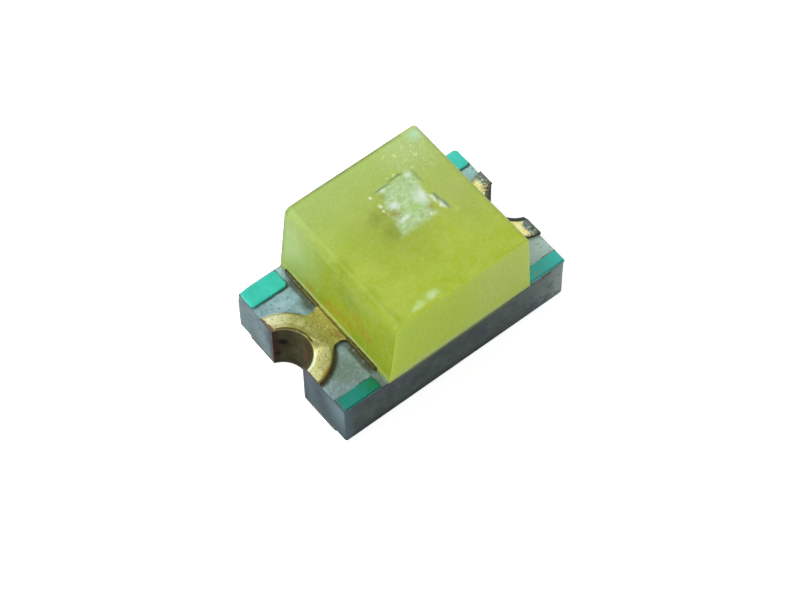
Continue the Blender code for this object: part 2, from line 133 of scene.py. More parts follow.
def slice_up(piece, step):
    """Cuts a surface into a net of small faces, so that its points can be moved one by one."""
    only(piece)
    bpy.ops.object.mode_set(mode="EDIT")
    for axis in range(3):
        low = min(vertex[axis] for vertex in piece.bound_box)
        high = max(vertex[axis] for vertex in piece.bound_box)
        normal = [float(axis == other) for other in range(3)]
        count = max(2, round((high - low) / step))
        for index in range(1, count):
            place = [low + (high - low) * index / count] * 3
            bpy.ops.mesh.select_all(action="SELECT")
            bpy.ops.mesh.bisect(plane_co=place, plane_no=normal, threshold=MERGE / 100)
    bpy.ops.object.mode_set(mode="OBJECT")


def roughen(piece, depth):
    """Sinks each point along its normal by the depth that a function gives for its place and normal."""
    body = bmesh.new()
    body.from_mesh(piece.data)
    body.normal_update()
    sunk = [(vertex, depth(vertex.co, vertex.normal)) for vertex in body.verts]
    for vertex, distance in sunk:
        vertex.co -= vertex.normal * distance
    body.to_mesh(piece.data)
    body.free()


def uneven(place, grain):
    """A smooth random amount from 0 to 1 that changes over one grain."""
    return min(1, max(0, 0.5 + noise.noise(place / grain) * 0.7))


def finish_piece(piece, slot, *nodes):
    """Shades a piece, and ties it to the part in place of its nodes."""
    only(piece)
    bpy.ops.object.shade_smooth_by_angle(angle=SHADE_ANGLE)
    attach(piece, "root")
    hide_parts(*nodes)


low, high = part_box("board")
board = add_block("board_laminate", low, high)
bpy.ops.object.mode_set(mode="EDIT")
for (end, side), radius in CORNER_WEAR.items():
    select(board, "EDGE", lambda edge: upright(edge) and edge.verts[0].co.x * end > high.x - MERGE
           and edge.verts[0].co.y * side > high.y - MERGE)
    bpy.ops.mesh.bevel(offset=radius, segments=8, affect="EDGES")
for level, wear in ((low.z, ARRIS_WEAR / 4), (high.z, ARRIS_WEAR)):
    select(board, "EDGE", lambda edge: level_at(edge, level))
    bpy.ops.mesh.bevel(offset=wear, segments=3, affect="EDGES")
bpy.ops.object.mode_set(mode="OBJECT")
drill_centre = Vector((high.x + DRILL_OUTSIDE, DRILL_ACROSS))
for end in (-1, 1):
    drill = add_drum("drill", (end * drill_centre.x, drill_centre.y), DRILL_RADIUS,
                     low.z - ARRIS_WEAR, high.z + ARRIS_WEAR)
    combine(board, drill, "DIFFERENCE")
slice_up(board, SURFACE_STEP)

worn_corner = Vector((low.x, high.y, high.z))


def sawn_wear(place, normal):
    """Small hollows all over the sawn sides, and a corner of the top worn round."""
    worn = WORN_DEPTH * max(0, 1 - (place - worn_corner).length / WORN_REACH) ** 2
    if abs(normal.z) > FACES_UP:
        return worn
    if (Vector((abs(place.x), place.y)) - drill_centre).length < DRILL_RADIUS * DRILL_MARGIN:
        return 0
    return SAWN_DEPTH * uneven(place, SAWN_GRAIN) + worn


roughen(board, sawn_wear)


def colour(code):
    """An sRGB hex colour as linear red, green, blue and full alpha."""
    parts = [int(code[start:start + 2], 16) / 255 for start in (1, 3, 5)]
    return (*[part / 12.92 if part <= 0.04045 else ((part + 0.055) / 1.055) ** 2.4 for part in parts], 1.0)


def new_material(name, looks):
    """A material with the given looks. Returns it, its Principled shader and its Object coordinates."""
    material = bpy.data.materials.new(name)
    material.use_nodes = True
    shader = material.node_tree.nodes["Principled BSDF"]
    for socket, value in looks.items():
        shader.inputs[socket].default_value = value
    return material, shader, add_node(material, "ShaderNodeTexCoord").outputs["Object"]


def add_node(material, kind, inputs=None, stops=None, **settings):
    """Adds a node with its settings, fills its sockets with values or links, and gives a ramp its stops."""
    node = material.node_tree.nodes.new(kind)
    for name, value in settings.items():
        setattr(node, name, value)
    for name, value in (inputs or {}).items():
        if isinstance(value, bpy.types.NodeSocket):
            material.node_tree.links.new(value, node.inputs[name])
        else:
            node.inputs[name].default_value = value
    for index, (place, code) in enumerate(stops or []):
        elements = node.color_ramp.elements
        element = elements[index] if index < 2 else elements.new(place)
        element.position = place
        element.color = colour(code)
    return node


def link(material, output, socket):
    """Joins an output to a socket."""
    material.node_tree.links.new(output, socket)


# Socket numbers of a colour Mix node
FACTOR, FIRST, SECOND, MIXED = 0, 6, 7, 2


def blob(material, place, centre, reach):
    """A soft round zone: 1 at its centre, falling to 0 at its reach along each axis. Both in millimetres."""
    here = add_node(material, "ShaderNodeMapping", {
        "Vector": place, "Location": Vector(centre) * MM, "Scale": Vector(reach) * MM,
    }, vector_type="TEXTURE")
    ball = add_node(material, "ShaderNodeTexGradient", {"Vector": here.outputs["Vector"]},
                    gradient_type="SPHERICAL")
    return ball.outputs["Fac"]


def slab(material, place, centre, half, rim):
    """A boxed zone: 1 inside, falling to 0 over a rim that is a share of its half size. In millimetres."""
    here = add_node(material, "ShaderNodeMapping", {
        "Vector": place, "Location": Vector(centre) * MM, "Scale": Vector(half) * MM,
    }, vector_type="TEXTURE")
    folded = add_node(material, "ShaderNodeVectorMath", {0: here.outputs["Vector"]}, operation="ABSOLUTE")
    parts = add_node(material, "ShaderNodeSeparateXYZ", {"Vector": folded.outputs["Vector"]})
    level = add_node(material, "ShaderNodeMath", {0: parts.outputs["X"], 1: parts.outputs["Y"]},
                     operation="MAXIMUM")
    outer = add_node(material, "ShaderNodeMath", {0: level.outputs["Value"], 1: parts.outputs["Z"]},
                     operation="MAXIMUM")
    faded = add_node(material, "ShaderNodeMapRange", {
        "Value": outer.outputs["Value"], "From Min": 1.0, "From Max": 1.0 - rim,
    }, interpolation_type="SMOOTHSTEP")
    return faded.outputs["Result"]


def tint(material, under, over, zone, amount=1.0, within=None):
    """Lays a colour, hex code or socket, over another where a zone is strong, and within a second zone."""
    if within is not None:
        both = add_node(material, "ShaderNodeMath", {0: zone, 1: within}, operation="MULTIPLY")
        zone = both.outputs["Value"]
    shown = add_node(material, "ShaderNodeMapRange", {"Value": zone, "To Max": amount})
    top = over if isinstance(over, bpy.types.NodeSocket) else colour(over)
    mixed = add_node(material, "ShaderNodeMix", {FACTOR: shown.outputs["Result"], FIRST: under, SECOND: top},
                     data_type="RGBA")
    return mixed.outputs[MIXED]


def wavering(material, place, grain, sway):
    """The place shaken by noise, both sizes in millimetres, so that a zone gets an uneven edge."""
    shake = add_node(material, "ShaderNodeTexNoise", {
        "Vector": place, "Scale": 1 / (grain * MM), "Detail": 3.0,
    })
    level = add_node(material, "ShaderNodeVectorMath", {0: shake.outputs["Color"], 1: (0.5, 0.5, 0.5)},
                     operation="SUBTRACT")
    sway = (sway * MM * 2,) * 3
    moved = add_node(material, "ShaderNodeVectorMath", {0: level.outputs["Vector"], 1: sway, 2: place},
                     operation="MULTIPLY_ADD")
    return moved.outputs["Vector"]


def grains(material, place, size, least, most, detail=3.0):
    """Scattered grains of a size in millimetres: 0 up to the least noise, 1 from the most."""
    noise_node = add_node(material, "ShaderNodeTexNoise", {
        "Vector": place, "Scale": 1 / (size * MM), "Detail": detail, "Roughness": 0.65,
    })
    picked = add_node(material, "ShaderNodeMapRange", {
        "Value": noise_node.outputs["Fac"], "From Min": least, "From Max": most,
    })
    return picked.outputs["Result"]


# A height in millimetres that no piece comes near
ANY_HEIGHT = 1000


def hoop(material, place, centre, radius, half_width):
    """A thin round line in plan: 1 on its circle, falling to 0 at its half width. In millimetres."""
    here = add_node(material, "ShaderNodeMapping", {
        "Vector": place, "Location": Vector((*centre, 0)) * MM,
        "Scale": Vector((radius, radius, ANY_HEIGHT)) * MM,
    }, vector_type="TEXTURE")
    far = add_node(material, "ShaderNodeVectorMath", {0: here.outputs["Vector"]}, operation="LENGTH")
    off = add_node(material, "ShaderNodeMath", {0: far.outputs["Value"], 1: 1.0}, operation="SUBTRACT")
    gap = add_node(material, "ShaderNodeMath", {0: off.outputs["Value"]}, operation="ABSOLUTE")
    faded = add_node(material, "ShaderNodeMapRange", {
        "Value": gap.outputs["Value"], "From Min": half_width / radius, "From Max": 0.0,
    }, interpolation_type="SMOOTHSTEP")
    return faded.outputs["Result"]


# Middle of the ring round each hole, in millimetres from the board's middle
RING_MIDDLE = 1.045

# Printed laminate: smooth resin over glass cloth. The eye gets a satin grey-blue with small dark specks,
# painted shade in the near corner, along the resin's foot, round the ink and beside the ring, and darker
# bands beside the bars.
printed, shader, place = new_material("printed_laminate", {
    "Roughness": 0.45, "IOR": 1.52, "Specular IOR Level": 0.3,
})
loose = wavering(printed, place, 0.10, 0.02)
clouds = grains(printed, place, 0.16, 0.34, 0.66, 5.0)
tone = tint(printed, colour("#7a9ca2"), "#a2c6d0", clouds)
# Painted shade from the resin block over the near corner of the top, in two layers
tone = tint(printed, tone, "#6d8177", blob(printed, loose, (-0.78, -0.36, 0.43), (0.34, 0.34, 0.5)), 1.2)
near_corner = slab(printed, loose, (-1.0, -0.62, 0.43), (0.16, 0.34, 0.5), 0.7)
tone = tint(printed, tone, "#74898a", near_corner, 0.85)
tone = tint(printed, tone, "#a6d2cf", slab(printed, loose, (0.90, 0.00, 0.43), (0.30, 0.70, 0.5), 0.2), 0.85)
tone = tint(printed, tone, "#cfe9e4", slab(printed, loose, (0.90, -0.40, 0.43), (0.30, 0.30, 0.5), 0.4), 0.9)
# A painted shadow line round each ink patch
for corner in ("left_front", "left_back", "right_front", "right_back"):
    low_ink, high_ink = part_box("mask_patch_" + corner)
    middle = (low_ink + high_ink) / 2 / MM
    around = (high_ink - low_ink) / 2 / MM + Vector((0.016, 0.016, 0.05))
    tone = tint(printed, tone, "#33443f", slab(printed, loose, middle, around, 0.10), 0.8)
# Painted shade along the resin's foot at both ends
for foot in (-0.622, 0.675):
    resin_foot_shade = slab(printed, loose, (foot, 0.0, 0.43), (0.022, 0.66, 0.1), 0.7)
    tone = tint(printed, tone, "#3a3f33", resin_foot_shade, 0.9)
tone = tint(printed, tone, "#4f5c50", blob(printed, loose, (-0.665, 0.235, 0.43), (0.07, 0.11, 0.1)), 1.3)
# Painted shade on the board beside the outer edge of the near ring's front arm
round_ring = hoop(printed, place, (-RING_MIDDLE, 0.0), 0.356, 0.030)
front_arm = slab(printed, place, (-0.85, -0.22, 0.43), (0.25, 0.24, 0.1), 0.4)
tone = tint(printed, tone, "#4c4618", round_ring, 0.85, within=front_arm)
# Darker bands on the board beside the two foil bars
for side, beside_bar_tone in ((1, "#47533f"), (-1, "#44472c")):
    by_bar = slab(printed, loose, (-0.640, side * 0.345, 0.43), (0.042, 0.215, 0.1), 0.55)
    tone = tint(printed, tone, beside_bar_tone, by_bar, 0.9)
tone = tint(printed, tone, "#7798a2", blob(printed, loose, (-0.95, 0.40, 0.43), (0.16, 0.15, 0.3)), 0.8)
tone = tint(printed, tone, "#c6d8d6", grains(printed, place, 0.030, 0.54, 0.70, 4.0), 0.28)
by_ink = slab(printed, loose, (-0.655, -0.60, 0.43), (0.055, 0.10, 0.5), 0.6)
tone = tint(printed, tone, "#55654f", by_ink, 0.85)
specks = grains(printed, place, 0.022, 0.57, 0.68)
tone = tint(printed, tone, "#4a5d54", specks, 0.6)
link(printed, tone, shader.inputs["Base Color"])
bump = add_node(printed, "ShaderNodeBump", {"Height": specks, "Distance": 0.002 * MM, "Strength": 0.5})
link(printed, bump.outputs["Normal"], shader.inputs["Normal"])

# Sawn laminate: cut glass fibres in dark resin. The eye gets a matt slate with an olive line under the
# phosphor resin, painted light on the back parts of the short ends, and paler at the far front corner. The
# fibres' cut tips are too fine to show, and are drawn coarser.
saw_dulled = {"Roughness": 0.65, "Specular IOR Level": 0.12}
sawn_side, shader, place = new_material("sawn_laminate_side", saw_dulled)
tone = tint(sawn_side, colour("#3f4b49"), "#56635f", grains(sawn_side, place, 0.16, 0.35, 0.65, 4.0))
low_edge = slab(sawn_side, wavering(sawn_side, place, 0.08, 0.02), (0.0, 0.0, 0.02), (4.0, 4.0, 0.11), 0.8)
tone = tint(sawn_side, tone, "#2a3330", low_edge, 0.8)
tone = tint(sawn_side, tone, "#bccfc9", blob(sawn_side, place, (1.0, -0.63, 0.25), (0.36, 0.3, 0.6)), 1.3)
tone = tint(sawn_side, tone, "#6d7b76", blob(sawn_side, place, (0.72, -0.63, 0.33), (0.48, 0.3, 0.5)), 0.9)
tone = tint(sawn_side, tone, "#4d4a5c", grains(sawn_side, place, 0.30, 0.52, 0.64), 0.7)
under_resin = slab(sawn_side, place, (0.0, 0.0, 0.44), (0.66, 1.3, 0.060), 0.45)
tone = tint(sawn_side, tone, "#808b52", under_resin, 0.95)
near_corner = slab(sawn_side, place, (-1.0, -0.625, 0.2), (0.11, 0.1, 0.5), 0.9)
tone = tint(sawn_side, tone, "#58707a", near_corner, 0.7)
tone = tint(sawn_side, tone, "#333d3c", grains(sawn_side, place, 0.03, 0.55, 0.66), 0.5)
link(sawn_side, tone, shader.inputs["Base Color"])
sawn_end, end_shader, spot = new_material("sawn_laminate_end", saw_dulled)
tone = tint(sawn_end, colour("#3c4d51"), "#51636a", grains(sawn_end, spot, 0.14, 0.35, 0.65, 4.0))
# Painted light: the back part of each short end is painted paler, as the lamp behind lights it more
paler = slab(sawn_end, wavering(sawn_end, spot, 0.2, 0.08), (0.0, 0.72, 0.27), (1.2, 0.52, 0.32), 0.6)
tone = tint(sawn_end, tone, "#c8e4e8", paler, 0.97)
tone = tint(sawn_end, tone, "#5f5d70", blob(sawn_end, spot, (-1.0, -0.20, 0.36), (0.2, 0.10, 0.12)), 0.9)
tone = tint(sawn_end, tone, "#2a393d", blob(sawn_end, spot, (-1.0, -0.46, 0.25), (0.2, 0.24, 0.32)), 0.9)
tone = tint(sawn_end, tone, "#6a8188", blob(sawn_end, spot, (-1.0, -0.56, 0.36), (0.2, 0.24, 0.28)), 1.0)
tone = tint(sawn_end, tone, "#26353a", slab(sawn_end, spot, (0.0, 0.0, 0.0), (1.2, 0.8, 0.055), 0.7), 0.85)
tone = tint(sawn_end, tone, "#485a5e", grains(sawn_end, spot, 0.03, 0.57, 0.66), 0.5)
link(sawn_end, tone, end_shader.inputs["Base Color"])
for cut, cut_shader, here in ((sawn_side, shader, place), (sawn_end, end_shader, spot)):
    grit = add_node(cut, "ShaderNodeTexNoise", {"Vector": here, "Scale": 1 / (0.015 * MM), "Detail": 3.0})
    bump = add_node(cut, "ShaderNodeBump", {"Height": grit.outputs["Fac"], "Distance": 0.0015 * MM})
    link(cut, bump.outputs["Normal"], cut_shader.inputs["Normal"])

for material in (sawn_side, printed, sawn_end):
    board.data.materials.append(material)
only(board)
bpy.ops.object.mode_set(mode="EDIT")
for index, faces_along in ((1, 2), (2, 0)):
    select(board, "FACE", lambda face: abs(face.normal[faces_along]) > FACES_OUT)
    board.active_material_index = index
    bpy.ops.object.material_slot_assign()
bpy.ops.object.mode_set(mode="OBJECT")
finish_piece(board, "laminate", "board")


# The two terminals are copper foil and hole plating in one piece, flashed with nickel and pale gold after
# etching. The saw cut through them with the board, so their ends show bare copper.

TERMINAL_ARRIS = 0.005 * MM
ARRIS_ANGLE = math.radians(50)
FLAT_ANGLE = math.radians(1)
BORE_RADIUS = 0.190 * MM
RIM_SHARE = 1.22
LAND_ZONE = 0.05 * MM
MOUTH_TURN = 0.96
EDGE_ON = 0.3


def node_copy(name, node):
    """A copy of a node's mesh with its loose triangles merged and its flat faces made whole again."""
    piece = bpy.data.objects.new(name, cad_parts[node].data.copy())
    bpy.context.scene.collection.objects.link(piece)
    piece.data.materials.clear()
    only(piece)
    bpy.ops.mesh.customdata_custom_splitnormals_clear()
    bpy.ops.object.mode_set(mode="EDIT")
    bpy.ops.mesh.select_all(action="SELECT")
    bpy.ops.mesh.remove_doubles(threshold=MERGE)
    bpy.ops.mesh.dissolve_limited(angle_limit=FLAT_ANGLE)
    bpy.ops.object.mode_set(mode="OBJECT")
    return piece


def soften(piece, width, segments=3, angle=40):
    """Rounds every sharp edge of a piece."""
    step = piece.modifiers.new("soften", "BEVEL")
    step.width = width
    step.segments = segments
    step.limit_method = "ANGLE"
    step.angle_limit = math.radians(angle)
    only(piece)
    bpy.ops.object.modifier_apply(modifier=step.name)


# Flash gold: a thin pale film on nickel, laid on matt copper. The eye gets a soft, greenish, grainy gloss
# with painted glints, a painted olive reflection of the resin beside it, painted shade along the bars and the
# rings' edges, and a painted highlight, nearly white, where it rolls over the front of the hole's rim.
gold, shader, place = new_material("flash_gold", {"Metallic": 1.0, "Roughness": 0.42})
loose = wavering(gold, place, 0.06, 0.03)
tone = tint(gold, colour("#aca96a"), "#cac88f", grains(gold, place, 0.09, 0.36, 0.66, 5.0))
# Painted reflection of the resin block, olive on the gold beside it
tone = tint(gold, tone, "#a39d48", slab(gold, loose, (-0.64, 0.0, 0.45), (0.17, 0.30, 0.1), 0.6), 0.9)
tone = tint(gold, tone, "#d6d6ac", blob(gold, loose, (-0.93, 0.32, 0.46), (0.16, 0.17, 0.1)), 1.3)
tone = tint(gold, tone, "#c6ca90", blob(gold, loose, (-0.97, -0.30, 0.46), (0.12, 0.12, 0.1)), 0.8)
tone = tint(gold, tone, "#ebe78c", slab(gold, loose, (0.80, 0.0, 0.45), (0.16, 0.36, 0.1), 0.3), 0.9)
tone = tint(gold, tone, "#56706c", slab(gold, loose, (1.00, 0.0, 0.45), (0.075, 0.40, 0.1), 0.3), 0.95)
blots = grains(gold, place, 0.028, 0.52, 0.66, 4.0)
tone = tint(gold, tone, "#756c34", blots, 0.55)
# Painted glints: pale specks over all the gold
tone = tint(gold, tone, "#f4f3d6", grains(gold, loose, 0.022, 0.60, 0.69), 0.7)
tone = tint(gold, tone, "#8f7240", blob(gold, loose, (-0.657, -0.107, 0.46), (0.045, 0.045, 0.1)), 0.8)
tone = tint(gold, tone, "#b0903c", blob(gold, loose, (-0.91, -0.317, 0.46), (0.06, 0.06, 0.1)), 1.1)
# Painted shade on the rings' outer edges, along the inner rim's back half, and in a wider band beyond it
for end, rim_tone in ((-1, "#6b6322"), (1, "#4c5d56")):
    edge_line = hoop(gold, place, (end * RING_MIDDLE, 0.0), 0.342, 0.024)
    arms = slab(gold, place, (end * 1.0, 0.0, 0.45), (0.26, 0.5, 0.1), 0.12)
    tone = tint(gold, tone, rim_tone, edge_line, 0.85, within=arms)
    inner_rim = hoop(gold, place, (end * RING_MIDDLE, 0.0), 0.215, 0.014)
    shaded = slab(gold, place, (0.0, 0.28, 0.45), (1.1, 0.36, 0.1), 0.2)
    tone = tint(gold, tone, "#42340c", inner_rim, 1.4, within=shaded)
    wide_rim_shade = hoop(gold, place, (end * RING_MIDDLE, 0.0), 0.236, 0.030)
    wide_rim_back = slab(gold, place, (0.0, 0.25, 0.45), (1.1, 0.34, 0.1), 0.2)
    tone = tint(gold, tone, "#8d8749", wide_rim_shade, 0.6, within=wide_rim_back)
    # Painted shade over the bars at the resin's foot, with grey specks in it
    for side in (-1, 1):
        bar = slab(gold, place, (end * 0.58, side * 0.38, 0.45), (0.06, 0.22, 0.1), 0.06)
        tone = tint(gold, tone, "#35322a", bar, 0.97)
        tone = tint(gold, tone, "#7c8078", grains(gold, place, 0.030, 0.50, 0.64), 0.5, within=bar)
# Painted shade on the outer edge of the near ring's front arm
dark_rim = hoop(gold, place, (-RING_MIDDLE, 0.0), 0.344, 0.036)
front_arm = slab(gold, place, (-0.90, -0.34, 0.45), (0.24, 0.16, 0.1), 0.2)
tone = tint(gold, tone, "#6a5416", dark_rim, 0.85, within=front_arm)
lit_rim = hoop(gold, place, (-RING_MIDDLE, 0.0), 0.347, 0.016)
back_arm = slab(gold, place, (-0.95, 0.34, 0.45), (0.12, 0.10, 0.1), 0.4)
tone = tint(gold, tone, "#e6ead0", lit_rim, 1.2, within=back_arm)
cut_rim = slab(gold, loose, (-1.005, 0.28, 0.45), (0.020, 0.12, 0.1), 0.5)
tone = tint(gold, tone, "#5d3a2a", cut_rim, 0.8)
# Painted highlight where the plating rolls over the front of the near hole's rim
rim_highlight = hoop(gold, place, (-1.050, 0.004), 0.220, 0.015)
front_rim = slab(gold, place, (-1.0, -0.28, 0.45), (0.3, 0.20, 0.1), 0.7)
tone = tint(gold, tone, "#cbd6b8", rim_highlight, 1.5, within=front_rim)
# Painted shade on the gold at the resin's foot
resin_foot_shade = slab(gold, place, (-0.623, 0.0, 0.45), (0.010, 0.6, 0.1), 0.6)
tone = tint(gold, tone, "#55571c", resin_foot_shade, 0.85)
tone = tint(gold, tone, "#86824e", blob(gold, place, (-0.838, -0.086, 0.46), (0.042, 0.036, 0.1)), 1.5)
cut_end = slab(gold, loose, (1.00, 0.0, 0.45), (0.085, 0.40, 0.1), 0.2)
tone = tint(gold, tone, "#2a3230", grains(gold, place, 0.040, 0.48, 0.60, 4.0), 0.8, within=cut_end)
# Painted glints in a band on the far ring
far_glint_band = slab(gold, loose, (0.925, 0.0, 0.45), (0.050, 0.40, 0.1), 0.5)
tone = tint(gold, tone, "#fbfbe6", grains(gold, place, 0.020, 0.50, 0.60), 0.75, within=far_glint_band)
for side in (-1, 1):
    land_side = slab(gold, place, (0.0, side * 0.525, 0.010), (1.2, 0.018, 0.040), 0.3)
    tone = tint(gold, tone, "#3f4b4e", land_side, 0.95)
link(gold, tone, shader.inputs["Base Color"])
bump = add_node(gold, "ShaderNodeBump", {"Height": blots, "Distance": 0.002 * MM, "Strength": 0.5},
                invert=True)
link(gold, bump.outputs["Normal"], shader.inputs["Normal"])

# Dull hole plating: gold that hardly reached the drilled wall. The eye gets a dark olive brown with two
# reddish streaks, two pits painted as black spots of shade, and a thin paler rim.
dull, shader, place = new_material("dull_hole_plating", {
    "Metallic": 0.1, "Roughness": 0.75, "Specular IOR Level": 0.05,
})
tone = tint(dull, colour("#36341f"), "#56533a", grains(dull, place, 0.09, 0.35, 0.70, 5.0))
tone = tint(dull, tone, "#413a22", blob(dull, place, (-0.88, -0.08, 0.44), (0.12, 0.16, 0.25)), 1.1)
tone = tint(dull, tone, "#161309", slab(dull, place, (0.0, 0.0, 0.0), (1.2, 0.5, 0.14), 0.95), 0.8)
tone = tint(dull, tone, "#5c3029", blob(dull, place, (-0.876, -0.010, 0.21), (0.020, 0.024, 0.20)), 1.2)
tone = tint(dull, tone, "#3b2723", blob(dull, place, (-0.98, 0.205, 0.22), (0.05, 0.05, 0.36)), 1.3)
tone = tint(dull, tone, "#4f5754", slab(dull, place, (1.0, 0.0, 0.2), (0.30, 0.4, 0.5), 0.2), 0.8)
# Painted shade: two pits drawn as black spots, not cut
tone = tint(dull, tone, "#050504", blob(dull, place, (-0.936, 0.175, 0.286), (0.045, 0.045, 0.05)), 1.8)
tone = tint(dull, tone, "#0a0805", blob(dull, place, (-0.971, 0.200, 0.135), (0.03, 0.03, 0.04)), 1.4)
for end in (-1, 1):
    rim = hoop(dull, place, (end * RING_MIDDLE, 0.0), 0.206, 0.012)
    high_up = slab(dull, place, (0.0, 0.0, 0.50), (1.2, 0.7, 0.060), 0.2)
    tone = tint(dull, tone, "#8a8660", rim, 0.8, within=high_up)
link(dull, tone, shader.inputs["Base Color"])

# Sawn copper: the plating's raw section, tarnished and smeared grey by the saw near the underside. The eye
# gets a thin reddish brown line.
copper, shader, place = new_material("sawn_copper", {
    "Metallic": 0.2, "Roughness": 0.6, "Specular IOR Level": 0.2,
})
tone = tint(copper, colour("#2e1f1d"), "#544040", grains(copper, place, 0.05, 0.38, 0.66))
tone = tint(copper, tone, "#414f55", slab(copper, place, (0.0, 0.0, 0.0), (1.2, 0.8, 0.045), 0.25), 1.0)
tone = tint(copper, tone, "#47535a", slab(copper, place, (0.0, -0.25, 0.20), (1.2, 0.20, 0.215), 0.06), 0.9)
tone = tint(copper, tone, "#5a5020", slab(copper, place, (0.0, 0.0, 0.50), (0.988, 0.7, 0.072), 0.02), 0.9)
link(copper, tone, shader.inputs["Base Color"])

sawn_plane = drill_centre.x - DRILL_OUTSIDE - MERGE
board_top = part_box("board")[1].z


def sawn(face):
    """Whether a face was bared by the saw at a board's end."""
    return abs(face.normal.x) > EDGE_ON and abs(face.calc_center_median().x) > sawn_plane


def etched(face):
    """Whether a face is an etched side of the foil, above the board or below it."""
    return abs(face.normal.z) < EDGE_ON and not LAND_ZONE < face.calc_center_median().z < board_top


for name, node, end in (("anode_plating", "anode_terminal", -1), ("cathode_plating", "cathode_terminal", 1)):
    terminal = node_copy(name, node)
    for material in (gold, dull, copper):
        terminal.data.materials.append(material)
    bore_centre = Vector((end * drill_centre.x, drill_centre.y))
    only(terminal)
    bpy.ops.object.mode_set(mode="EDIT")
    select(terminal, "EDGE", lambda edge: edge.is_convex and edge.calc_face_angle(0) > ARRIS_ANGLE
           and min(abs(vertex.co.x) for vertex in edge.verts) < sawn_plane)
    bpy.ops.mesh.bevel(offset=TERMINAL_ARRIS, segments=3, affect="EDGES")
    select(terminal, "FACE", lambda face: abs(face.normal.z) < MOUTH_TURN
           and (face.calc_center_median().xy - bore_centre).length < BORE_RADIUS * RIM_SHARE)
    terminal.active_material_index = 1
    bpy.ops.object.material_slot_assign()
    select(terminal, "FACE", lambda face: sawn(face) or etched(face) and (
        face.calc_center_median().xy - bore_centre).length > BORE_RADIUS * RIM_SHARE)
    terminal.active_material_index = 2
    bpy.ops.object.material_slot_assign()
    bpy.ops.object.mode_set(mode="OBJECT")
    finish_piece(terminal, "gold_plating", node)


# Four patches of solder mask and the arrow below are green ink, screened on the bare panel and cured. The
# ink drew back at its rims as it dried, and the saw took a strip off the two front patches.

PATCH_CORNER = 0.028 * MM
PATCH_SAWN_CORNER = 0.005 * MM
PATCH_MENISCUS = 0.009 * MM

# Solder mask ink: green epoxy with a satin skin. The eye gets turquoise, darker and greener on the near
# front patch in painted shade from the resin block, and scuffed pale on the far one.
ink, shader, place = new_material("solder_mask_ink", {"Roughness": 0.40, "Specular IOR Level": 0.3})
loose = wavering(ink, place, 0.05, 0.03)
clouds = grains(ink, place, 0.12, 0.30, 0.70, 4.0)
tone = tint(ink, colour("#2bb9a4"), "#44d2c0", clouds)
# Painted shade from the resin block over the near front patch
tone = tint(ink, tone, "#00796a", slab(ink, loose, (-0.83, -0.60, 0.44), (0.30, 0.16, 0.2), 0.3), 0.95)
tone = tint(ink, tone, "#48d0ca", slab(ink, loose, (0.85, -0.60, 0.44), (0.24, 0.16, 0.2), 0.3), 0.9)
tone = tint(ink, tone, "#55dccb", slab(ink, loose, (0.85, 0.56, 0.44), (0.24, 0.16, 0.2), 0.3), 0.3)
# More painted shade on the near front patch, next to the resin
tone = tint(ink, tone, "#00703c", blob(ink, loose, (-0.70, -0.55, 0.44), (0.13, 0.13, 0.2)), 0.9)
tone = tint(ink, tone, "#1d5f56", slab(ink, loose, (-0.99, -0.58, 0.44), (0.022, 0.09, 0.2), 0.5), 0.8)
tone = tint(ink, tone, "#2f4a46", slab(ink, place, (0.0, -0.6265, 0.44), (1.2, 0.0055, 0.1), 0.05), 0.9)
scuffed = blob(ink, loose, (0.74, -0.56, 0.45), (0.16, 0.14, 0.2))
tone = tint(ink, tone, "#8fb5aa", grains(ink, loose, 0.035, 0.50, 0.62), 0.9, within=scuffed)
link(ink, tone, shader.inputs["Base Color"])
bump = add_node(ink, "ShaderNodeBump", {"Height": clouds, "Distance": 0.003 * MM})
link(ink, bump.outputs["Normal"], shader.inputs["Normal"])

for side_name, side in (("front", -1), ("back", 1)):
    low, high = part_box("mask_patch_left_" + side_name)
    patch = add_block("mask_ink_left_" + side_name, low, high)
    bpy.ops.object.mode_set(mode="EDIT")
    for row in (-1, 1):
        middle_y = (low.y + high.y) / 2
        select(patch, "EDGE", lambda edge: upright(edge) and (edge.verts[0].co.y - middle_y) * row > 0)
        corner = PATCH_SAWN_CORNER if side == row == -1 else PATCH_CORNER
        bpy.ops.mesh.bevel(offset=corner, segments=8, affect="EDGES")
    select(patch, "EDGE", lambda edge: level_at(edge, high.z))
    bpy.ops.mesh.bevel(offset=PATCH_MENISCUS, segments=5, affect="EDGES")
    bpy.ops.object.mode_set(mode="OBJECT")
    patch.data.materials.append(ink)
    right_low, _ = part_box("mask_patch_right_" + side_name)
    mate = bpy.data.objects.new("mask_ink_right_" + side_name, patch.data.copy())
    bpy.context.scene.collection.objects.link(mate)
    mate.data.transform(Matrix.Translation(right_low - low))
    finish_piece(patch, "solder_mask", "mask_patch_left_" + side_name)
    finish_piece(mate, "solder_mask", "mask_patch_right_" + side_name)

arrow = node_copy("mark_ink", "polarity_mark")
soften(arrow, PATCH_MENISCUS / 2)
arrow.data.materials.append(ink)
finish_piece(arrow, "solder_mask", "polarity_mark")


# The die is a slip of sapphire with its light-emitting layers on top, scribed and snapped from a wafer. It
# sits in a thin bed of clear adhesive that crept out round its foot.

BED_ROUND = 0.004 * MM
DIE_MESA = 0.012 * MM
DIE_STEP = 0.006 * MM
DIE_ROUND = 0.002 * MM
CONTACT_ROUND = 0.0015 * MM
CONTACT_SIDES = 48


def mottle(material, shader, place, size, detail, stops, roughness=0.5):
    """Lets a shader's colour wander between a ramp's stops, in spots of a size in millimetres."""
    spots = add_node(material, "ShaderNodeTexNoise", {
        "Vector": place, "Scale": 1 / (size * MM), "Detail": detail, "Roughness": roughness,
    })
    ramp = add_node(material, "ShaderNodeValToRGB", {"Fac": spots.outputs["Fac"]}, stops)
    link(material, ramp.outputs["Color"], shader.inputs["Base Color"])


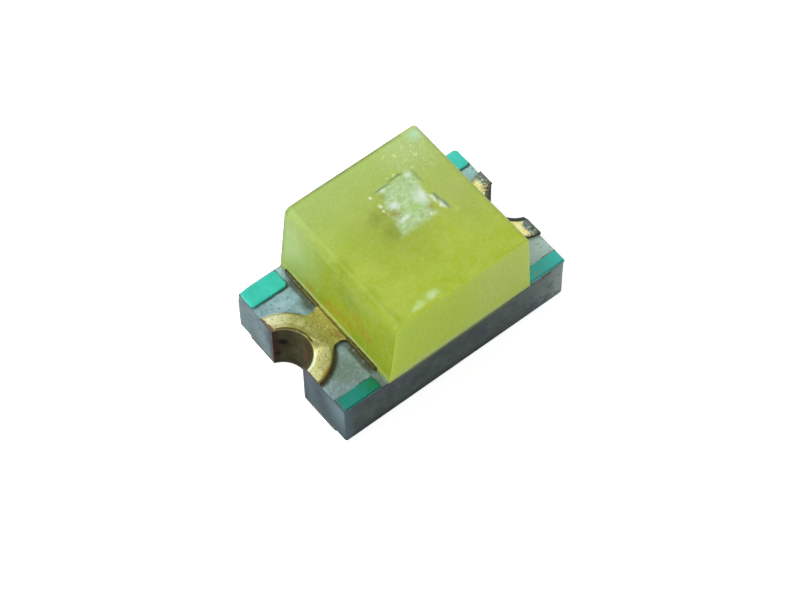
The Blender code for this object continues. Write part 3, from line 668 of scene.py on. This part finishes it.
# Cured die adhesive: clear epoxy gone amber. The eye gets a brownish wet rim round the die.
glue, shader, place = new_material("cured_adhesive", {"Roughness": 0.3})
mottle(glue, shader, place, 0.06, 3.0, ((0.35, "#8d8049"), (0.70, "#b9ad72")))

bed = node_copy("die_adhesive_bed", "die_attach")
soften(bed, BED_ROUND)
bed.data.materials.append(glue)
finish_piece(bed, "die_adhesive", "die_attach")

# Patterned sapphire: clear crystal over a reflecting film. The eye gets a pale, mottled, bluish white.
sapphire, shader, place = new_material("patterned_sapphire", {"Roughness": 0.25, "IOR": 1.77})
mottle(sapphire, shader, place, 0.05, 5.0, ((0.25, "#b9c9b0"), (0.50, "#e6f2ea"), (0.75, "#ffffff")), 0.7)

low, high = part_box("led_die")
die = add_block("die_crystal", low, high)
bpy.ops.object.mode_set(mode="EDIT")
select(die, "FACE", lambda face: face.normal.z > FACES_UP)
bpy.ops.mesh.inset(thickness=DIE_MESA)
bpy.ops.object.mode_set(mode="OBJECT")
for vertex in die.data.vertices:
    outer = abs(vertex.co.x - (low.x + high.x) / 2) > (high.x - low.x) / 2 - MERGE
    if outer and vertex.co.z > high.z - MERGE:
        vertex.co.z -= DIE_STEP
soften(die, DIE_ROUND, 2, 20)
die.data.materials.append(sapphire)
finish_piece(die, "sapphire_die", "led_die")

# Contact metal: gold evaporated on the die. The eye gets two small warm rounds.
film, shader, place = new_material("contact_gold", {"Metallic": 1.0, "Roughness": 0.35})
mottle(film, shader, place, 0.02, 2.0, ((0.35, "#a8924c"), (0.70, "#d6c27c")))

contacts = {}
for letter in ("p", "n"):
    low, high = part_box("bond_pad_" + letter)
    contacts[letter] = (low + high) / 2
    pad = add_drum("contact_film_" + letter, contacts[letter], (high.x - low.x) / 2,
                   low.z, high.z, CONTACT_SIDES)
    soften(pad, CONTACT_ROUND, 2)
    pad.data.materials.append(film)
    finish_piece(pad, "contact_metal", "bond_pad_" + letter)


# Each bond wire is drawn gold, melted into a ball on the die's contact, looped over, and pressed flat on the
# foil in a stitch.

WIRE_RADIUS = 0.0125 * MM
WIRE_RISE = 0.260 * MM
WIRE_LANDING = 0.35
WIRE_LANDING_RISE = 0.050 * MM
WIRE_PRESSED_SHARE = 0.4
BALL_RADIUS = 0.034 * MM
BALL_HEIGHT = 0.020 * MM
BALL_GAP = 0.002 * MM
STITCH_PLACES = {"p": (-0.340 * MM, 0.110 * MM), "n": (0.575 * MM, 0.020 * MM)}
STITCH_LENGTH = 0.080 * MM
STITCH_WIDTH = 0.050 * MM
STITCH_THICKNESS = 0.018 * MM
FOIL_TOP = 0.461 * MM

# Drawn gold: soft, bright and warm. The eye gets thin yellow lines with a clear gloss.
drawn, shader, place = new_material("drawn_gold", {"Metallic": 1.0, "Roughness": 0.22})
mottle(drawn, shader, place, 0.01, 2.0, ((0.35, "#cfae55"), (0.70, "#efd58a")))

for letter, stitch_place in STITCH_PLACES.items():
    contact_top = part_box("bond_pad_" + letter)[1].z
    start = Vector((contacts[letter].x, contacts[letter].y, contact_top + BALL_GAP))
    foot = start + Vector((0, 0, BALL_HEIGHT / 3))
    landing = Vector((*stitch_place, FOIL_TOP + STITCH_THICKNESS / 2))
    across = Vector((landing.x - foot.x, landing.y - foot.y, 0))
    bpy.ops.object.select_all(action="DESELECT")
    bpy.ops.curve.primitive_bezier_curve_add(enter_editmode=False)
    wire = bpy.context.object
    wire.name = "gold_wire_" + letter
    first, last = wire.data.splines[0].bezier_points
    for point in (first, last):
        point.handle_left_type = point.handle_right_type = "FREE"
    first.co = first.handle_left = foot
    first.handle_right = foot + Vector((0, 0, WIRE_RISE))
    last.co = last.handle_right = landing
    last.handle_left = landing - across * WIRE_LANDING + Vector((0, 0, WIRE_LANDING_RISE))
    last.radius = WIRE_PRESSED_SHARE
    wire.data.resolution_u = 40
    wire.data.bevel_depth = WIRE_RADIUS
    wire.data.bevel_resolution = 4
    wire.data.use_fill_caps = True
    bpy.ops.object.transform_apply(location=True, rotation=True, scale=True)
    bpy.ops.object.convert(target="MESH")
    bpy.ops.object.select_all(action="DESELECT")
    ball_middle = start + Vector((0, 0, BALL_HEIGHT / 2))
    bpy.ops.mesh.primitive_uv_sphere_add(segments=32, ring_count=16, radius=1, location=ball_middle,
                                         scale=(BALL_RADIUS, BALL_RADIUS, BALL_HEIGHT / 2))
    bpy.ops.object.transform_apply(location=True, rotation=True, scale=True)
    combine(wire, bpy.context.object, "UNION")
    bpy.ops.object.select_all(action="DESELECT")
    turn = math.atan2(across.y, across.x)
    bpy.ops.mesh.primitive_cylinder_add(vertices=32, radius=1, depth=1, location=landing,
                                        rotation=(0, 0, turn),
                                        scale=(STITCH_LENGTH / 2, STITCH_WIDTH / 2, STITCH_THICKNESS))
    bpy.ops.object.transform_apply(location=True, rotation=True, scale=True)
    combine(wire, bpy.context.object, "UNION")
    wire.data.materials.append(drawn)
    finish_piece(wire, "gold_wire", "bond_wire_" + letter)


# The resin block is epoxy full of yellow phosphor, moulded over the panel in bars and sawn with it. Its two
# ends have the mould's slope and satin skin, and its two long sides have the saw's.

RESIN_SLOPE_NEAR = 0.076 * MM
RESIN_SLOPE_FAR = 0.036 * MM
RESIN_MOULD_EDGE = 0.055 * MM
RESIN_SAWN_EDGE = 0.010 * MM
RESIN_SINK = 0.003 * MM
RESIN_STEP = 0.030 * MM
RESIN_HOLLOWS = 0.004 * MM
RESIN_HOLLOW_GRAIN = 0.22 * MM
SAWN_FACING = 0.6

low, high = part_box("phosphor_resin")
foot_z = low.z - RESIN_SINK
resin = add_block("resin_block", Vector((low.x, low.y, foot_z)), high)
bpy.ops.object.mode_set(mode="EDIT")
for end, slope in ((-1, RESIN_SLOPE_NEAR), (1, RESIN_SLOPE_FAR)):
    select(resin, "EDGE", lambda edge: level_at(edge, high.z) and all(v.co.x * end > 0 for v in edge.verts))
    bpy.ops.transform.translate(value=(-end * slope, 0, 0))
select(resin, "EDGE", lambda edge: level_at(edge, high.z)
       and abs(edge.verts[0].co.x - edge.verts[1].co.x) < MERGE)
bpy.ops.mesh.bevel(offset=RESIN_MOULD_EDGE, segments=10, affect="EDGES")
select(resin, "EDGE", lambda edge: abs(edge.verts[0].co.y - edge.verts[1].co.y) < MERGE
       and max(v.co.z for v in edge.verts) > foot_z + MERGE)
bpy.ops.mesh.bevel(offset=RESIN_SAWN_EDGE, segments=3, affect="EDGES")
bpy.ops.object.mode_set(mode="OBJECT")
slice_up(resin, RESIN_STEP)
roughen(resin, lambda place, normal: RESIN_HOLLOWS * uneven(place, RESIN_HOLLOW_GRAIN)
        if place.z > foot_z + MERGE and abs(normal.y) < SAWN_FACING else 0)

# Height of the resin's top in millimetres, where many of the zones below have their middle
TOP = 1.08

# Phosphor-filled epoxy: clear resin clouded by yellow-green grains. The eye gets a deep, milky glow, with
# painted sheen paler towards the back, painted light on the front and along the foot, painted shade on the
# edges, lime streaks, and amber streaks that are a painted reflection of the gold beneath. The grains
# themselves are too fine to show, and are drawn coarser.
epoxy, shader, place = new_material("phosphor_epoxy", {
    "Roughness": 0.42, "IOR": 1.53, "Specular IOR Level": 0.08, "Subsurface Weight": 1.0,
    "Subsurface Radius": (1.0, 1.0, 0.5), "Subsurface Scale": 0.08 * MM, "Transmission Weight": 0.15,
})
loose = wavering(epoxy, place, 0.16, 0.06)
frayed = wavering(epoxy, place, 0.035, 0.022)
clouds = grains(epoxy, place, 0.20, 0.32, 0.68, 4.0)
tone = tint(epoxy, colour("#b7ce34"), "#c8da5c", clouds, 0.9)
# Painted sheen: the resin paler towards the back
tone = tint(epoxy, tone, "#bfd98a", slab(epoxy, loose, (0.0, 0.95, 0.8), (1.5, 1.15, 1.2), 0.85), 0.8)
tone = tint(epoxy, tone, "#9aaa40", blob(epoxy, loose, (-0.02, 0.00, 1.06), (0.42, 0.44, 0.4)), 0.55)
for middle in ((-0.086, 0.173, TOP), (-0.082, 0.001, TOP)):
    tone = tint(epoxy, tone, "#8b9c34", blob(epoxy, loose, middle, (0.10, 0.10, 0.1)), 0.7)
# Painted sheen in the back right corner of the top
tone = tint(epoxy, tone, "#cfe6a2", blob(epoxy, loose, (0.44, 0.50, TOP), (0.30, 0.30, 0.3)), 0.7)
tone = tint(epoxy, tone, "#b9cc80", blob(epoxy, loose, (0.50, 0.00, TOP), (0.26, 0.50, 0.3)), 0.6)
# A painted bluish-white sheen spot in the back right corner
tone = tint(epoxy, tone, "#d0f2d2", blob(epoxy, frayed, (0.560, 0.555, TOP), (0.09, 0.08, 0.2)), 1.1)
# Painted glints scattered over the back right corner
back_right = slab(epoxy, loose, (0.38, 0.44, TOP), (0.38, 0.26, 0.1), 0.7)
back_glints = grains(epoxy, place, 0.040, 0.62, 0.69, 1.0)
tone = tint(epoxy, tone, "#e6fab0", back_glints, 0.85, within=back_right)

# The moulded near end, with lime streaks along its upper edge, painted sheen on its back part, amber streaks
# near its foot that are a painted reflection of the gold beneath, and painted light along the foot
tone = tint(epoxy, tone, "#9db31c", slab(epoxy, loose, (-0.68, 0.0, 0.62), (0.17, 0.95, 0.45), 0.25))
# Painted sheen on the back part of the near end
tone = tint(epoxy, tone, "#b0d07c", blob(epoxy, loose, (-0.57, 0.56, 0.78), (0.16, 0.44, 0.50)), 1.3)
tone = tint(epoxy, tone, "#84a028", blob(epoxy, loose, (-0.56, -0.12, 0.84), (0.10, 0.20, 0.14)), 1.0)
upper_edge = slab(epoxy, place, (-0.55, 0.0, 1.06), (0.09, 0.7, 0.09), 1.0)
tone = tint(epoxy, tone, "#90a438", upper_edge, 0.55)
for x, y, reach in ((-0.54, -0.035, 0.16), (-0.53, -0.30, 0.20), (-0.53, -0.51, 0.16)):
    tone = tint(epoxy, tone, "#98b00c", blob(epoxy, loose, (x, y, 1.04), (0.09, reach, 0.09)), 1.0)
for middle in ((-0.556, -0.347, 0.948), (-0.556, -0.194, 0.948)):
    tone = tint(epoxy, tone, "#b0c45c", blob(epoxy, loose, middle, (0.10, 0.12, 0.08)), 0.45)
# Amber streaks: painted reflection of the gold pads beneath the resin
for middle in (
    (-0.60, 0.075, 0.565), (-0.60, 0.006, 0.576), (-0.595, -0.077, 0.61), (-0.596, -0.165, 0.60),
    (-0.585, -0.303, 0.698), (-0.588, -0.363, 0.67), (-0.579, -0.212, 0.745), (-0.60, 0.28, 0.54),
):
    tone = tint(epoxy, tone, "#ab9a1c", blob(epoxy, frayed, middle, (0.10, 0.09, 0.065)), 0.95)
# Painted light: a pale band along the near end's foot
lower_edge = slab(epoxy, place, (-0.63, 0.0, 0.466), (0.08, 0.7, 0.038), 0.6)
tone = tint(epoxy, tone, "#e0f090", lower_edge, 0.9)

# Painted shade on the edges round the sawn front, with a painted light spot at their foot, then painted light
# over the front, paler on its right half and at its foot
edge = slab(epoxy, place, (-0.60, -0.625, 0.76), (0.060, 0.040, 0.42), 0.9)
tone = tint(epoxy, tone, "#96aa36", edge, 0.45)
tone = tint(epoxy, tone, "#b4cc84", blob(epoxy, place, (-0.61, -0.62, 0.43), (0.10, 0.10, 0.10)), 0.8)
tone = tint(epoxy, tone, "#9db436", blob(epoxy, place, (-0.52, -0.60, 1.07), (0.10, 0.10, 0.10)), 0.5)
# Painted light: the front painted paler, for the light that comes through the resin
front = slab(epoxy, place, (0.0, -0.68, 0.74), (1.2, 0.0558, 0.337), 0.01)
tone = tint(epoxy, tone, "#d2f03e", front)
right_half = slab(epoxy, loose, (0.45, -0.68, 0.8), (0.5, 0.2, 0.5), 0.8)
tone = tint(epoxy, tone, "#dcf470", right_half, 0.8, within=front)
foot = slab(epoxy, place, (0.0, -0.68, 0.43), (0.8, 0.2, 0.075), 0.8)
tone = tint(epoxy, tone, "#d8ff80", foot, 1.0, within=front)

# The back edges carry painted shade, darkest at the back left corner, and the far top edge is painted darker
for edge_shade, level_half, upright_half, rim, amount in (
    ("#74835c", (0.70, 0.045, 0.045), (0.085, 0.045, 0.40), 0.8, 0.8),
    ("#626f5c", (0.70, 0.022, 0.022), (0.07, 0.020, 0.40), 0.5, 0.9),
):
    back_top = slab(epoxy, place, (0.0, 0.63, 1.09), level_half, rim)
    tone = tint(epoxy, tone, edge_shade, back_top, amount)
    back_left = slab(epoxy, place, (-0.58, 0.63, 0.75), upright_half, rim)
    tone = tint(epoxy, tone, edge_shade, back_left, amount)
tone = tint(epoxy, tone, "#6f7d58", blob(epoxy, place, (-0.56, 0.63, 1.07), (0.09, 0.045, 0.09)), 1.1)
far_edge = slab(epoxy, place, (0.655, 0.0, 1.06), (0.032, 0.7, 0.04), 0.6)
tone = tint(epoxy, tone, "#8a9a5c", far_edge, 0.6)
tone = tint(epoxy, tone, "#d2e290", grains(epoxy, place, 0.045, 0.44, 0.76, 4.0), 0.24)
tone = tint(epoxy, tone, "#869630", grains(epoxy, place, 0.020, 0.34, 0.72), 0.22)

# The die's pale light, as the resin's skin shows it, with painted glints on its wires, round it and in the
# far back corner
DIE_LIGHT = (0.158, 0.135, TOP)
DIE_LIGHT_HALF = (0.180, 0.234, 0.08)
DIE_LIGHT_LEAN = 0.20
parts = add_node(epoxy, "ShaderNodeSeparateXYZ", {"Vector": frayed})
leaned = add_node(epoxy, "ShaderNodeMath", {
    0: parts.outputs["Y"], 1: -DIE_LIGHT_LEAN, 2: parts.outputs["X"],
}, operation="MULTIPLY_ADD")
slanted = add_node(epoxy, "ShaderNodeCombineXYZ", {
    "X": leaned.outputs["Value"], "Y": parts.outputs["Y"], "Z": parts.outputs["Z"],
})
middle = (DIE_LIGHT[0] - DIE_LIGHT_LEAN * DIE_LIGHT[1], *DIE_LIGHT[1:])
lit = slab(epoxy, slanted.outputs["Vector"], middle, DIE_LIGHT_HALF, 0.32)
milky = tint(epoxy, colour("#accb80"), "#d6edc4", grains(epoxy, place, 0.040, 0.34, 0.66, 5.0))
milky = tint(epoxy, milky, "#b6dc80", blob(epoxy, frayed, (0.177, 0.070, TOP), (0.10, 0.07, 0.1)), 0.8)
for x, y, *reach in ((0.302, 0.320, 0.035, 0.035), (0.290, 0.115, 0.10, 0.09), (0.073, 0.168, 0.05, 0.04),
                     (0.065, 0.039, 0.07, 0.028), (0.084, 0.316, 0.035, 0.025)):
    milky = tint(epoxy, milky, "#eefdf4", blob(epoxy, frayed, (x, y, TOP), (*reach, 0.1)), 1.2)
for x, y, stain in ((0.037, 0.279, "#a4b040"), (0.030, 0.110, "#a8a040"), (0.285, -0.004, "#aa9a34")):
    milky = tint(epoxy, milky, stain, blob(epoxy, frayed, (x, y, TOP), (0.060, 0.055, 0.1)), 1.0)
tone = tint(epoxy, tone, milky, lit, 0.95)
sketched = wavering(epoxy, place, 0.05, 0.007)
for middle in ((0.095, 0.337, TOP), (0.225, 0.352, TOP)):
    seam = slab(epoxy, sketched, middle, (0.085, 0.012, 0.1), 0.7)
    tone = tint(epoxy, tone, "#68836a", grains(epoxy, place, 0.05, 0.30, 0.50), 0.65, within=seam)
tone = tint(epoxy, tone, "#8aa078", blob(epoxy, frayed, (0.350, 0.270, TOP), (0.020, 0.10, 0.05)), 0.7)
for middle in ((0.348, 0.040, TOP), (0.363, -0.040, TOP)):
    tone = tint(epoxy, tone, "#8ca18e", blob(epoxy, sketched, middle, (0.020, 0.065, 0.05)), 1.3)
# Painted highlight: a pale streak along the wire on the right
for middle in ((0.322, 0.048, TOP), (0.340, -0.030, TOP)):
    tone = tint(epoxy, tone, "#e8f6d4", blob(epoxy, frayed, middle, (0.020, 0.055, 0.05)), 1.3)
tone = tint(epoxy, tone, "#c4d67c", blob(epoxy, frayed, (0.395, -0.115, TOP), (0.03, 0.04, 0.05)), 0.9)
# Painted highlights: two whitish spots near the front top edge
for middle in ((-0.172, -0.562, 1.082), (-0.306, -0.577, 1.082)):
    tone = tint(epoxy, tone, "#dcf2bc", blob(epoxy, loose, middle, (0.075, 0.034, 0.08)), 0.9)
# Painted glints: small pale dots on the wires
for x, y, reach in ((-0.020, 0.321, 0.020), (-0.009, 0.224, 0.026), (-0.015, 0.177, 0.018),
                    (0.233, -0.043, 0.022), (0.325, -0.03, 0.020)):
    glint_dot = blob(epoxy, sketched, (x, y, TOP), (reach * 0.8, reach, 0.05))
    tone = tint(epoxy, tone, "#ecf8d8", glint_dot, 1.3)
# Painted glints scattered round the die and in the far back corner
glints = grains(epoxy, place, 0.014, 0.62, 0.70, 2.0)
near_die = blob(epoxy, loose, (0.15, 0.15, TOP), (0.30, 0.34, 0.1))
back_corner = blob(epoxy, loose, (0.40, 0.45, TOP), (0.26, 0.24, 0.1))
glint_zone = add_node(epoxy, "ShaderNodeMath", {0: near_die, 1: back_corner}, operation="MAXIMUM")
tone = tint(epoxy, tone, "#ffffff", glints, 1.0, within=glint_zone.outputs["Value"])
link(epoxy, tone, shader.inputs["Base Color"])
skin = add_node(epoxy, "ShaderNodeTexNoise", {
    "Vector": place, "Scale": 1 / (0.025 * MM), "Detail": 4.0, "Roughness": 0.65,
})
bump = add_node(epoxy, "ShaderNodeBump", {"Height": skin.outputs["Fac"], "Distance": 0.002 * MM})
link(epoxy, bump.outputs["Normal"], shader.inputs["Normal"])

resin.data.materials.append(epoxy)
finish_piece(resin, "phosphor_resin", "phosphor_resin")


# The floor is a plain white sheet that keeps a soft shadow. The camera sees it nearly as bright as paper
# under studio light, and so do metal and clear resin.

FLOOR_SIZE = 120 * MM
FLOOR_DROP = 0.001 * MM
FLOOR_GLOW = 0.74


def looked_at(material):
    """1 for what the camera, a mirror or clear resin looks at, and 0 for the light that a surface gives."""
    paths = add_node(material, "ShaderNodeLightPath")
    seen = add_node(material, "ShaderNodeMath", {
        0: paths.outputs["Is Camera Ray"], 1: paths.outputs["Is Glossy Ray"],
    }, operation="MAXIMUM")
    seen = add_node(material, "ShaderNodeMath", {
        0: seen.outputs["Value"], 1: paths.outputs["Is Transmission Ray"],
    }, operation="MAXIMUM")
    return seen.outputs["Value"]


bpy.ops.object.select_all(action="DESELECT")
bpy.ops.mesh.primitive_plane_add(size=FLOOR_SIZE, location=(0, 0, -FLOOR_DROP))
floor = bpy.context.object
floor.name = "floor"
paper, shader, _ = new_material("white_paper", {
    "Base Color": colour("#e6e6e6"), "Roughness": 0.9, "Emission Color": (1, 1, 1, 1),
})
glow = add_node(paper, "ShaderNodeMath", {0: looked_at(paper), 1: FLOOR_GLOW}, operation="MULTIPLY")
link(paper, glow.outputs["Value"], shader.inputs["Emission Strength"])
floor.data.materials.append(paper)


# The light is a pale even surround with one large soft lamp, high up behind and to the left, so the sides
# towards the camera get less of it than the top.

WORLD_LIGHT = 0.50
KEY_PLACE = Vector((-24, 26, 34)) * MM
KEY_SIZE = 30 * MM
KEY_LEVEL = 0.55

world = bpy.data.worlds.new("pale_surround")
bpy.context.scene.world = world
world.use_nodes = True
background = world.node_tree.nodes["Background"]
level = add_node(world, "ShaderNodeMapRange", {
    "Value": looked_at(world), "To Min": WORLD_LIGHT, "To Max": 1.0,
})
link(world, level.outputs["Result"], background.inputs["Strength"])
background.inputs["Color"].default_value = (1, 1, 1, 1)

bpy.ops.object.light_add(type="AREA", location=KEY_PLACE)
key = bpy.context.object
key.name = "key_lamp"
key.rotation_euler = KEY_PLACE.to_track_quat("Z", "Y").to_euler()
key.data.shape = "DISK"
key.data.size = KEY_SIZE
key.data.energy = KEY_LEVEL * math.pi ** 2 * KEY_PLACE.length_squared / KEY_PLACE.normalized().z


# The camera stands where the photograph was taken from, to the front left and well above.

CAMERA_AZIMUTH = math.radians(-37.855)
CAMERA_ELEVATION = math.radians(58.349)
CAMERA_ROLL = math.radians(-0.795)
CAMERA_DISTANCE = 20.07 * MM
CAMERA_VIEW = math.radians(16.181)
CAMERA_AIM = Vector((0, 0, 0.332)) * MM
AIM_RIGHT = -0.014 * MM
AIM_UP = -0.112 * MM

back = Vector((
    math.sin(CAMERA_AZIMUTH) * math.cos(CAMERA_ELEVATION),
    -math.cos(CAMERA_AZIMUTH) * math.cos(CAMERA_ELEVATION),
    math.sin(CAMERA_ELEVATION),
))
level_right = Vector((math.cos(CAMERA_AZIMUTH), math.sin(CAMERA_AZIMUTH), 0))
level_up = back.cross(level_right)
right = level_right * math.cos(CAMERA_ROLL) + level_up * math.sin(CAMERA_ROLL)
up = level_up * math.cos(CAMERA_ROLL) - level_right * math.sin(CAMERA_ROLL)
eye = CAMERA_AIM + right * AIM_RIGHT + up * AIM_UP + back * CAMERA_DISTANCE
turn = Matrix((right, up, back)).transposed()
bpy.ops.object.camera_add(location=eye, rotation=turn.to_euler())
camera = bpy.context.object
camera.data.sensor_width = 36
camera.data.lens = camera.data.sensor_width / 2 / math.tan(CAMERA_VIEW / 2)
camera.data.clip_start = 1 * MM
camera.data.clip_end = 1000 * MM
bpy.context.scene.camera = camera
bpy.context.scene.view_settings.view_transform = "Standard"
